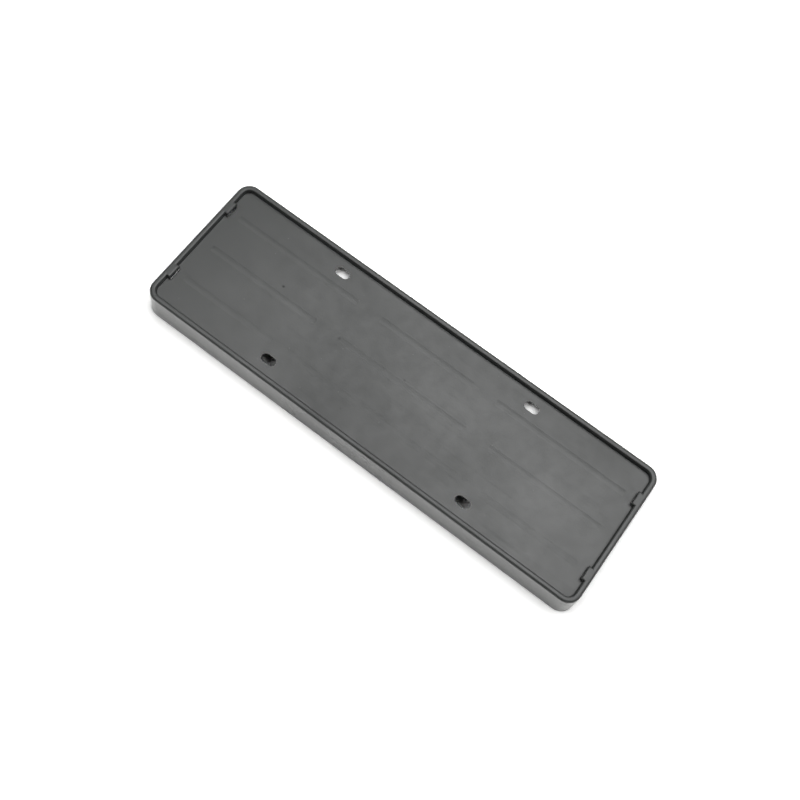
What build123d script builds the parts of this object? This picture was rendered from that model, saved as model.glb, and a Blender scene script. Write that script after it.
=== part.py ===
from build123d import *
import os
from math import cos, radians, sin, tan

# Number plate holder, one moulded wedge-shaped tray, in millimetres.
# The plate lies on a tilted floor inside a raised rim, tabs at both ends keep it in,
# slots in the floor take the fixing screws, and ribs stiffen the open back.
# The feet of the walls lie on z = 0, x runs along the plate, y points to the shallow long wall.

# Plate and the room around it
plate_length = 480.0
plate_width = 140.0
end_clearance = 0.7
side_clearance = 1.25

# Rim, recess and floor
rim_width = 5.8
rim_corner_radius = 14.0
rim_outer_edge_radius = 2.5
rim_inner_edge_radius = 1.9
recess_depth = 5.8
recess_foot_radius = 0.8
floor_thickness = 2.5

# Skirt walls, which turn the tray into a wedge
plate_tilt = 8.0
wall_draft = 4.4
wall_thickness = 2.8
far_skirt_depth = 5.0

# Cut-outs that lift the feet of the end walls off the base
end_relief_span = 112.0
end_relief_height = 5.0
end_relief_radius = 4.0

# Screw slots through the floor
slot_spacing_x = 225.0
slot_spacing_y = 113.5
slot_length = 15.5
slot_width = 9.0

# Tabs over the ends of the plate, each above a window in the floor
tab_spacing = 86.0
tab_length = 15.0
tab_reach = 3.5
tab_thickness = 2.4
tab_root = 1.5
window_reach = 3.4
window_length = 13.5

# Stiffening ribs on the back, and the low crowned beads above them that the plate rests on
rib_pitch = 41.0
rib_thickness = 1.6
rib_depth = 6.0
rib_end_gap = 13.0
rib_gap = 28.0
rib_gap_place = 88.0
rib_gap_step = 20.0
bead_width = 6.6
bead_height = 0.22

# How far the slots, ribs and beads lie off the middle of the floor, towards the far wall
pattern_offset = 0.5

# How far a cut runs past the faces that it goes through
overrun = 4.0

# Sizes that follow from those above
slope = radians(plate_tilt)
draft_rate = tan(radians(wall_draft))
recess_length = plate_length + 2 * end_clearance
recess_width = plate_width + 2 * side_clearance
recess_corner_radius = rim_corner_radius - rim_width
rim_length = recess_length + 2 * rim_width
rim_breadth = recess_width + 2 * rim_width
rib_half_span = recess_length / 2 - rib_end_gap

# Depths are measured square to the plate, from the top of the rim to the base
hollow_level = recess_depth + floor_thickness
hollow_inset = wall_thickness - hollow_level * draft_rate
far_wall_depth = hollow_level + far_skirt_depth
far_foot = rim_breadth / 2 + far_wall_depth * draft_rate
rim_height = far_foot * sin(slope) + far_wall_depth * cos(slope)
near_wall_depth = (rim_height + rim_breadth / 2 * sin(slope)) / (cos(slope) - draft_rate * sin(slope))
near_foot = rim_breadth / 2 + near_wall_depth * draft_rate
near_reach = near_foot * cos(slope) + near_wall_depth * sin(slope)
far_reach = rim_breadth / 2 * cos(slope)
rim_shift = (near_reach - far_reach) / 2
through = 2 * (near_wall_depth + overrun)

rim_plane = Plane(origin=(0, rim_shift, rim_height), x_dir=(1, 0, 0), z_dir=(0, sin(slope), cos(slope)))
floor_plane = rim_plane.offset(-recess_depth)
hollow_plane = rim_plane.offset(-hollow_level)
plate_normal = Axis(rim_plane.origin, rim_plane.z_dir)

slot_center = (0, floor_plane.origin.Y + pattern_offset)
rib_rows = (-1, 0, 1)


# Middle and length of the stretches of one rib row, whose gaps close in towards the far wall
def rib_stretches(row):
    gap_middle = rib_gap_place - row * rib_gap_step
    inner_end = gap_middle - rib_gap / 2
    outer_start = gap_middle + rib_gap / 2
    side_length = rib_half_span - outer_start
    side_middle = (rib_half_span + outer_start) / 2
    return (-side_middle, side_length), (0, 2 * inner_end), (side_middle, side_length)


# Outer block, drafted outwards from the rim and cut flat at the feet of the walls
with BuildPart() as block:
    with BuildSketch(rim_plane):
        Rectangle(rim_length, rim_breadth)
    extrude(amount=-(near_wall_depth + overrun), taper=-wall_draft)
    fillet(edges().group_by(plate_normal)[1], rim_corner_radius)
    split(bisect_by=Plane.XY, keep=Keep.TOP)

# Space on the back between the walls, without the ribs that stand in it
with BuildPart() as hollow:
    with BuildSketch(hollow_plane):
        Rectangle(rim_length - 2 * hollow_inset, rim_breadth - 2 * hollow_inset)
    extrude(amount=-near_wall_depth, taper=-wall_draft)
    fillet(edges().group_by(plate_normal)[1], rim_corner_radius - wall_thickness)
    with BuildSketch(hollow_plane):
        for row in rib_rows:
            for middle, length in rib_stretches(row):
                with Locations((middle, pattern_offset + row * rib_pitch)):
                    Rectangle(length, rib_thickness)
    extrude(amount=-rib_depth, mode=Mode.SUBTRACT)

with BuildPart() as plate_holder:
    add(block.part)
    add(hollow.part, mode=Mode.SUBTRACT)

    # Recess for the plate, with a rounded foot along its walls
    with BuildSketch(rim_plane):
        RectangleRounded(recess_length, recess_width, recess_corner_radius)
    extrude(amount=-recess_depth, mode=Mode.SUBTRACT)
    recess_floor = faces().filter_by(floor_plane).sort_by(plate_normal)[-2]
    fillet(recess_floor.outer_wire().edges(), recess_foot_radius)

    # Beads on the floor, low arcs in section, along the ribs
    for row in rib_rows:
        for middle, length in rib_stretches(row):
            bead_middle = floor_plane.from_local_coords((middle, pattern_offset + row * rib_pitch, 0))
            with BuildSketch(Plane(bead_middle, x_dir=floor_plane.y_dir, z_dir=floor_plane.x_dir)):
                with BuildLine():
                    ThreePointArc((-bead_width / 2, 0), (0, bead_height), (bead_width / 2, 0))
                    Line((bead_width / 2, 0), (-bead_width / 2, 0))
                make_face()
            extrude(amount=length / 2, both=True)

    # Windows through the floor under the tabs
    with BuildSketch(floor_plane.offset(recess_foot_radius)):
        with GridLocations(recess_length - window_reach, tab_spacing, 2, 2):
            Rectangle(window_reach, window_length)
    extrude(amount=-(recess_foot_radius + floor_thickness), mode=Mode.SUBTRACT)

    # Tabs, level with the top of the rim
    with BuildSketch(rim_plane):
        with GridLocations(recess_length + tab_root - tab_reach, tab_spacing, 2, 2):
            Rectangle(tab_root + tab_reach, tab_length)
    extrude(amount=-tab_thickness)

    # Screw slots, square to the base
    with BuildSketch(Plane.XY):
        with Locations(slot_center):
            with GridLocations(slot_spacing_x, slot_spacing_y, 2, 2):
                SlotOverall(slot_length, slot_width)
    extrude(amount=through, mode=Mode.SUBTRACT)

    # Cut-outs in the feet of the end walls
    for side in (-1, 1):
        with BuildSketch(Plane.YZ.offset(side * (rim_length / 2 - 2 * wall_thickness))):
            RectangleRounded(end_relief_span, 2 * end_relief_height, end_relief_radius)
        extrude(amount=side * through, mode=Mode.SUBTRACT)

    # Rounded edges along the top of the rim and the tabs
    rim_top = faces().sort_by(plate_normal)[-1]
    fillet(rim_top.outer_wire().edges(), rim_outer_edge_radius)
    rim_top = faces().sort_by(plate_normal)[-1]
    fillet(rim_top.inner_wires().edges(), rim_inner_edge_radius)

plate_holder.part.label = "plate_holder"

os.makedirs("parts", exist_ok=True)
export_step(plate_holder.part, "parts/plate_holder.step")
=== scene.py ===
import math
import bpy
from mathutils import Matrix, Vector


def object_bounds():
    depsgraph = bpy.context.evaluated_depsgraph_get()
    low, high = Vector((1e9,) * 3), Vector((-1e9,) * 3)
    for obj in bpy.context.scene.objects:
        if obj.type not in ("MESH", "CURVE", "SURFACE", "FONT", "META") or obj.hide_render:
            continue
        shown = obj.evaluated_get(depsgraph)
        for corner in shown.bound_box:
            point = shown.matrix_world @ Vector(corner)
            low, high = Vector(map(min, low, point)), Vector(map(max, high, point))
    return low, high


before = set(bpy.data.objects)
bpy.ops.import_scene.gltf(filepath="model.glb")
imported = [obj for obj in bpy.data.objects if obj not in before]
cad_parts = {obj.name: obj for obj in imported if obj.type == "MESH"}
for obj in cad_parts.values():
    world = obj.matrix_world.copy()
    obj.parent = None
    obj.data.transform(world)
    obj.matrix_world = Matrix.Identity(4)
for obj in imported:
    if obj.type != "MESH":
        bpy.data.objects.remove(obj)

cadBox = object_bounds()  # box of the solids, before anything is dressed
print("frame loaded, nodes:", sorted(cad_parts))


def linear(hexColour):
    # sRGB hex to the linear colour that the shaders work in
    steps = [int(hexColour[i:i + 2], 16) / 255 for i in (1, 3, 5)]
    return [s / 12.92 if s <= 0.04045 else ((s + 0.055) / 1.055) ** 2.4 for s in steps] + [1.0]


def mm(value):
    return value / 1000


def addNode(tree, kind, inputs=None, **settings):
    # one node: settings are its properties, inputs are values or (node, output) pairs by socket
    node = tree.nodes.new(kind)
    for name, value in settings.items():
        setattr(node, name, value)
    for socket, value in (inputs or {}).items():
        if isinstance(value, tuple) and isinstance(value[0], bpy.types.Node):
            tree.links.new(value[0].outputs[value[1]], node.inputs[socket])
        else:
            node.inputs[socket].default_value = value
    return node


def newMaterial(name):
    material = bpy.data.materials.new(name)
    material.use_nodes = True
    material.node_tree.nodes.clear()
    return material, material.node_tree


def seenRays(tree):
    # 1 for the rays that end at the eye: straight, off gloss or through something clear
    rays = addNode(tree, "ShaderNodeLightPath")
    seen = addNode(tree, "ShaderNodeMath", {
        0: (rays, "Is Camera Ray"), 1: (rays, "Is Glossy Ray")}, operation="MAXIMUM")
    return addNode(tree, "ShaderNodeMath", {
        0: (seen, 0), 1: (rays, "Is Transmission Ray")}, operation="MAXIMUM")


holder = dict(
    colour="#303231",        # black ABS, a touch green in daylight
    colourPale="#363837",    # where the melt flowed and the skin is paler
    # colour of the dirt specks, also used for the painted shade on the near side of the floor
    colourDirtAndShade="#161716",
    colourDust="#8b8c88",
    ior=1.60,                # ABS is about 1.54, raised to the gloss in the photo
    roughness=0.42,
    noiseSpan=(0.3, 0.7),    # most of a noise lies in here
    flowMm=95,               # clouds left by the flow of the melt
    flowSpread=0.05,         # how much rougher or smoother they are
    flowSeed=5.0,
    blotchMm=13,             # patches of the mould's skin
    blotchSpread=0.035,
    grainMm=1.1,             # spark-eroded grain is about 0.3 mm, drawn coarser so that it shows
    grainDepthMm=0.012,
    scuffMm=(120, 1.4),      # length and width of the faint scuffs that plates leave
    scuffTurn=0.05,          # radians off the length of the tray
    scuffSpan=(0.62, 0.74),  # only the peaks of the noise are scuffs
    scuffDull=0.05,
    dustMm=8,                # one mote in a cell of this size
    dustSize=0.06,           # share of the cell
    dustFree=0.7,            # share of the cells without a mote
    dustUpright=0.5,         # it only lies on faces that look up this much
    dustTint=0.35,
    backDull=0.10,           # the core side of the mould is not polished
    backSpan=(-0.6, -0.1),   # upright part of the normal, from back to wall
    wallGloss=0.22,          # steep walls are drawn along the mould and come out smoother
    wallSpan=(0.35, 0.9),    # upright part of the normal, from wall to floor
    dirtAndShadeWarpMm=1.4,          # how ragged the specks are
    dirtAndShadeWarpCellMm=2.5,
    dirtAndShadeCore=0.3,            # share of the radius that is fully dark
    dirtAndShadeDull=0.5,            # how much rougher a fully dark speck is
)

# specks, gate marks and a broad haze on the floor, and painted shade over the near side of the floor: place
# and radius in mm, how dark they are
dirtAndShade = (
    dict(place=(-148.4, 13.7, 16.8), radius=1.9, dark=0.75),
    dict(place=(1.0, 8.4, 17.5), radius=1.6, dark=0.30),
    dict(place=(-29.8, -50.1, 25.8), radius=1.8, dark=0.28),
    dict(place=(-227.2, 4.3, 18.1), radius=2.4, dark=0.30),
    dict(place=(-73.1, 4.4, 18.1), radius=2.2, dark=0.24),
    dict(place=(33.5, -22.0, 21.9), radius=24.0, dark=0.10),
    # painted shade: the near side of the floor made darker, standing in for the dark side of the room by the
    # camera
    dict(place=(-10.0, -95.0, 30.0), radius=130.0, dark=0.14),
)


def mouldedAbs():
    # satin black ABS out of a spark-eroded mould:
    # dark, with a broad soft gloss that clouds where the melt flowed
    material, tree = newMaterial("mouldedBlackAbs")
    place = addNode(tree, "ShaderNodeTexCoord")
    facing = addNode(tree, "ShaderNodeSeparateXYZ", {0: (place, "Normal")})
    noiseLow, noiseHigh = holder["noiseSpan"]

    flow = addNode(tree, "ShaderNodeTexNoise", {
        "Vector": (place, "Object"), "W": holder["flowSeed"], "Scale": 1 / mm(holder["flowMm"]),
        "Detail": 2.0, "Roughness": 0.5}, noise_dimensions="4D")
    blotch = addNode(tree, "ShaderNodeTexNoise", {
        "Vector": (place, "Object"), "Scale": 1 / mm(holder["blotchMm"]), "Detail": 3.0, "Roughness": 0.6})
    grain = addNode(tree, "ShaderNodeTexNoise", {
        "Vector": (place, "Object"), "Scale": 1 / mm(holder["grainMm"]), "Detail": 3.0, "Roughness": 0.6})

    # scuffs: noise drawn out along the plate
    scuffLength, scuffWidth = holder["scuffMm"]
    drawn = addNode(tree, "ShaderNodeMapping", {
        "Vector": (place, "Object"), "Rotation": (0.0, 0.0, holder["scuffTurn"]),
        "Scale": (1 / mm(scuffLength), 1 / mm(scuffWidth), 1 / mm(scuffWidth))})
    scuff = addNode(tree, "ShaderNodeTexNoise", {"Vector": (drawn, "Vector"), "Scale": 1.0, "Detail": 1.0})
    scuffDull = addNode(tree, "ShaderNodeMapRange", {
        "Value": (scuff, "Fac"), "From Min": holder["scuffSpan"][0], "From Max": holder["scuffSpan"][1],
        "To Min": 0.0, "To Max": holder["scuffDull"]})

    # dust: a mote near the middle of a few cells, on faces that look up
    cell = addNode(tree, "ShaderNodeTexVoronoi", {
        "Vector": (place, "Object"), "Scale": 1 / mm(holder["dustMm"])})
    mote = addNode(tree, "ShaderNodeMapRange", {
        "Value": (cell, "Distance"), "From Min": holder["dustSize"] / 2, "From Max": holder["dustSize"],
        "To Min": holder["dustTint"], "To Max": 0.0})
    chance = addNode(tree, "ShaderNodeSeparateColor", {"Color": (cell, "Color")})
    few = addNode(tree, "ShaderNodeMath", {
        0: (chance, "Red"), 1: holder["dustFree"]}, operation="GREATER_THAN")
    upward = addNode(tree, "ShaderNodeMath", {
        0: (facing, "Z"), 1: holder["dustUpright"]}, operation="GREATER_THAN")
    dust = addNode(tree, "ShaderNodeMath", {0: (mote, "Result"), 1: (few, 0)}, operation="MULTIPLY")
    dust = addNode(tree, "ShaderNodeMath", {0: (dust, 0), 1: (upward, 0)}, operation="MULTIPLY")

    # dirt and painted shade: ragged spots, the place shaken by noise before the distance is taken
    shake = addNode(tree, "ShaderNodeTexNoise", {
        "Vector": (place, "Object"), "Scale": 1 / mm(holder["dirtAndShadeWarpCellMm"]), "Detail": 2.0})
    shift = addNode(tree, "ShaderNodeVectorMath", {
        0: (shake, "Color"), 1: (0.5, 0.5, 0.5)}, operation="SUBTRACT")
    ragged = addNode(tree, "ShaderNodeVectorMath", {
        0: (shift, 0), 1: [mm(holder["dirtAndShadeWarpMm"])] * 3, 2: (place, "Object")}, operation="MULTIPLY_ADD")
    dark = None
    for spot in dirtAndShade:
        away = addNode(tree, "ShaderNodeVectorMath", {
            0: (ragged, 0), 1: [mm(c) for c in spot["place"]]}, operation="DISTANCE")
        here = addNode(tree, "ShaderNodeMapRange", {
            "Value": (away, "Value"),
            "From Min": mm(spot["radius"]) * holder["dirtAndShadeCore"], "From Max": mm(spot["radius"]),
            "To Min": spot["dark"], "To Max": 0.0}, interpolation_type="SMOOTHSTEP")
        if dark:
            here = addNode(tree, "ShaderNodeMath", {0: (dark, 0), 1: (here, 0)}, operation="MAXIMUM")
        dark = here

    tint = addNode(tree, "ShaderNodeMix", {
        "Factor": (flow, "Fac"), "A": linear(holder["colour"]), "B": linear(holder["colourPale"])},
        data_type="RGBA")
    dusty = addNode(tree, "ShaderNodeMix", {
        "Factor": (dust, 0), "A": (tint, "Result"), "B": linear(holder["colourDust"])}, data_type="RGBA")
    # the dirt specks and the painted shade on the near floor darken the colour here
    dirtyAndShaded = addNode(tree, "ShaderNodeMix", {
        "Factor": (dark, 0), "A": (dusty, "Result"), "B": linear(holder["colourDirtAndShade"])}, data_type="RGBA")

    # roughness: the clouds first, then what makes it duller or smoother
    dull = addNode(tree, "ShaderNodeMapRange", {
        "Value": (flow, "Fac"), "From Min": noiseLow, "From Max": noiseHigh,
        "To Min": holder["roughness"] - holder["flowSpread"],
        "To Max": holder["roughness"] + holder["flowSpread"]})
    patch = addNode(tree, "ShaderNodeMapRange", {
        "Value": (blotch, "Fac"), "From Min": noiseLow, "From Max": noiseHigh,
        "To Min": -holder["blotchSpread"], "To Max": holder["blotchSpread"]})
    back = addNode(tree, "ShaderNodeMapRange", {
        "Value": (facing, "Z"), "From Min": holder["backSpan"][0], "From Max": holder["backSpan"][1],
        "To Min": holder["backDull"], "To Max": 0.0})
    upright = addNode(tree, "ShaderNodeMath", {0: (facing, "Z")}, operation="ABSOLUTE")
    wall = addNode(tree, "ShaderNodeMapRange", {
        "Value": (upright, 0), "From Min": holder["wallSpan"][0], "From Max": holder["wallSpan"][1],
        "To Min": -holder["wallGloss"], "To Max": 0.0})
    matt = addNode(tree, "ShaderNodeMath", {0: (dark, 0), 1: holder["dirtAndShadeDull"]}, operation="MULTIPLY")
    for extra in (patch, scuffDull, back, wall, matt):
        dull = addNode(tree, "ShaderNodeMath", {0: (dull, 0), 1: (extra, 0)}, operation="ADD")

    bump = addNode(tree, "ShaderNodeBump", {
        "Height": (grain, "Fac"), "Distance": mm(holder["grainDepthMm"]), "Strength": 1.0})
    skin = addNode(tree, "ShaderNodeBsdfPrincipled", {
        "Base Color": (dirtyAndShaded, "Result"), "Roughness": (dull, 0), "Normal": (bump, "Normal"),
        "IOR": holder["ior"]})
    addNode(tree, "ShaderNodeOutputMaterial", {"Surface": (skin, "BSDF")})
    return material


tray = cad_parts["plate_holder"]
tray.data.materials.clear()
tray.data.materials.append(mouldedAbs())
print("holder dressed, faces:", len(tray.data.polygons))


table = dict(
    size=30.0,
    colour="#f4f4f3",
    shown=1.92,              # how much paler the paper is seen than it lights the holder
    coveredShown=0.5,        # painted shade: under the holder the paper is seen only this share as pale, so it looks shaded through the holes
    coveredInsetMm=6,        # the covered paper ends this far inside the holder's box
    coveredBlendMm=4,
    fibreMm=3.0,             # paper fibres are finer, drawn coarser so that they show
    fibreDepthMm=0.05,
    fadeM=(0.4, 0.75),       # from here to here it turns into the white of the backdrop
    backdropColour="#ffffff",
)


def paperTable():
    # matt white background paper: it clips to white in the picture and keeps the shadow
    material, tree = newMaterial("mattWhitePaper")
    place = addNode(tree, "ShaderNodeTexCoord")
    seen = seenRays(tree)
    fibre = addNode(tree, "ShaderNodeTexNoise", {
        "Vector": (place, "Object"), "Scale": 1 / mm(table["fibreMm"]), "Detail": 4.0})
    bump = addNode(tree, "ShaderNodeBump", {
        "Height": (fibre, "Fac"), "Distance": mm(table["fibreDepthMm"])})

    # how far out of the covered rectangle a place is; inside it the paper gets painted shade
    covered = [c - mm(table["coveredInsetMm"]) for c in list(cadBox[1])[:2]] + [0.0]
    folded = addNode(tree, "ShaderNodeVectorMath", {0: (place, "Object")}, operation="ABSOLUTE")
    beyond = addNode(tree, "ShaderNodeVectorMath", {0: (folded, 0), 1: covered}, operation="SUBTRACT")
    sides = addNode(tree, "ShaderNodeSeparateXYZ", {0: (beyond, 0)})
    out = addNode(tree, "ShaderNodeMath", {0: (sides, "X"), 1: (sides, "Y")}, operation="MAXIMUM")
    bare = addNode(tree, "ShaderNodeMapRange", {
        "Value": (out, 0), "From Min": 0.0, "From Max": mm(table["coveredBlendMm"]),
        "To Min": table["coveredShown"]})

    paper = linear(table["colour"])
    shownPaper = [c * table["shown"] for c in paper[:3]] + [1.0]
    shownHere = addNode(tree, "ShaderNodeMath", {0: (bare, 0), 1: (seen, 0)}, operation="MULTIPLY")
    tone = addNode(tree, "ShaderNodeMix", {
        "Factor": (shownHere, 0), "A": paper, "B": shownPaper}, data_type="RGBA")
    skin = addNode(tree, "ShaderNodeBsdfDiffuse", {"Color": (tone, "Result"), "Normal": (bump, "Normal")})

    # far off it is seen as plain white
    away = addNode(tree, "ShaderNodeVectorMath", {0: (place, "Object")}, operation="LENGTH")
    far = addNode(tree, "ShaderNodeMapRange", {
        "Value": (away, "Value"), "From Min": table["fadeM"][0], "From Max": table["fadeM"][1]},
        interpolation_type="SMOOTHSTEP")
    shownFar = addNode(tree, "ShaderNodeMath", {0: (far, 0), 1: (seen, 0)}, operation="MULTIPLY")
    white = addNode(tree, "ShaderNodeEmission", {"Color": linear(table["backdropColour"]), "Strength": 1.0})
    both = addNode(tree, "ShaderNodeMixShader", {0: (shownFar, 0), 1: (skin, 0), 2: (white, 0)})
    addNode(tree, "ShaderNodeOutputMaterial", {"Surface": (both, "Shader")})
    return material


bpy.ops.mesh.primitive_plane_add(size=table["size"], location=(0, 0, 0))
floor = bpy.context.object
floor.name = "tablePaper"
floor.data.materials.append(paperTable())
print("table laid")


# a broad softbox behind the holder, a strip on the left and a window far off on the right, in metres
lamps = dict(
    softbox=dict(place=(0.12, 0.65, 1.6), length=1.9, breadth=1.12, watts=27.5),
    strip=dict(place=(-0.6, -0.15, 1.6), length=0.8, breadth=0.6, watts=6.0),
    window=dict(place=(1.8, 0.1, 1.9), length=1.2, breadth=1.2, watts=3.5),
)


def addLamp(name, lamp):
    data = bpy.data.lights.new(name, "AREA")
    data.shape = "RECTANGLE"
    data.size = lamp["length"]
    data.size_y = lamp["breadth"]
    data.energy = lamp["watts"]
    lampObject = bpy.data.objects.new(name, data)
    lampObject.location = lamp["place"]
    lampObject.rotation_euler = (-Vector(lamp["place"])).to_track_quat("-Z", "Y").to_euler()
    bpy.context.scene.collection.objects.link(lampObject)


for lampName, lamp in lamps.items():
    addLamp(lampName, lamp)
print("lamps hung:", len(lamps))


room = dict(
    colour="#ffffff",
    strength=0.02,
    backdropTop=(0.12, 0.2),  # sine of the height at which the backdrop ends
)


def lightRoom():
    # a dim room, with a white backdrop low down all round that only the eye and the gloss see
    world = bpy.data.worlds.new("room")
    bpy.context.scene.world = world
    world.use_nodes = True
    tree = world.node_tree
    tree.nodes.clear()
    ray = addNode(tree, "ShaderNodeTexCoord")
    height = addNode(tree, "ShaderNodeSeparateXYZ", {0: (ray, "Generated")})
    low = addNode(tree, "ShaderNodeMapRange", {
        "Value": (height, "Z"), "From Min": room["backdropTop"][0], "From Max": room["backdropTop"][1],
        "To Min": 1.0, "To Max": 0.0}, interpolation_type="SMOOTHSTEP")
    backdrop = addNode(tree, "ShaderNodeMath", {0: (low, 0), 1: (seenRays(tree), 0)}, operation="MULTIPLY")
    strength = addNode(tree, "ShaderNodeMapRange", {
        "Value": (backdrop, 0), "To Min": room["strength"], "To Max": 1.0})
    sky = addNode(tree, "ShaderNodeBackground", {"Color": linear(room["colour"]), "Strength": (strength, 0)})
    addNode(tree, "ShaderNodeOutputWorld", {"Surface": (sky, "Background")})


lightRoom()
print("room lit")


# where the photo was taken from, fitted to the holder's outline in it
photoCamera = dict(
    place=(0.127917, -0.159535, 0.931929),    # metres
    forward=(-0.127484, 0.16084, -0.978713),
    roll=-1.8225,                             # degrees
    lens=44.7094,                             # mm
    sensor=36,                                # mm
)


def addCamera():
    camera = bpy.data.cameras.new("photoCamera")
    camera.lens = photoCamera["lens"]
    camera.sensor_width = photoCamera["sensor"]
    cameraObject = bpy.data.objects.new("photoCamera", camera)
    turn = Vector(photoCamera["forward"]).to_track_quat("-Z", "Y").to_matrix().to_4x4()
    roll = Matrix.Rotation(math.radians(photoCamera["roll"]), 4, "Z")
    cameraObject.matrix_world = Matrix.Translation(photoCamera["place"]) @ turn @ roll
    bpy.context.scene.collection.objects.link(cameraObject)
    bpy.context.scene.camera = cameraObject


addCamera()
bpy.context.scene.view_settings.view_transform = "Standard"
print("camera set")
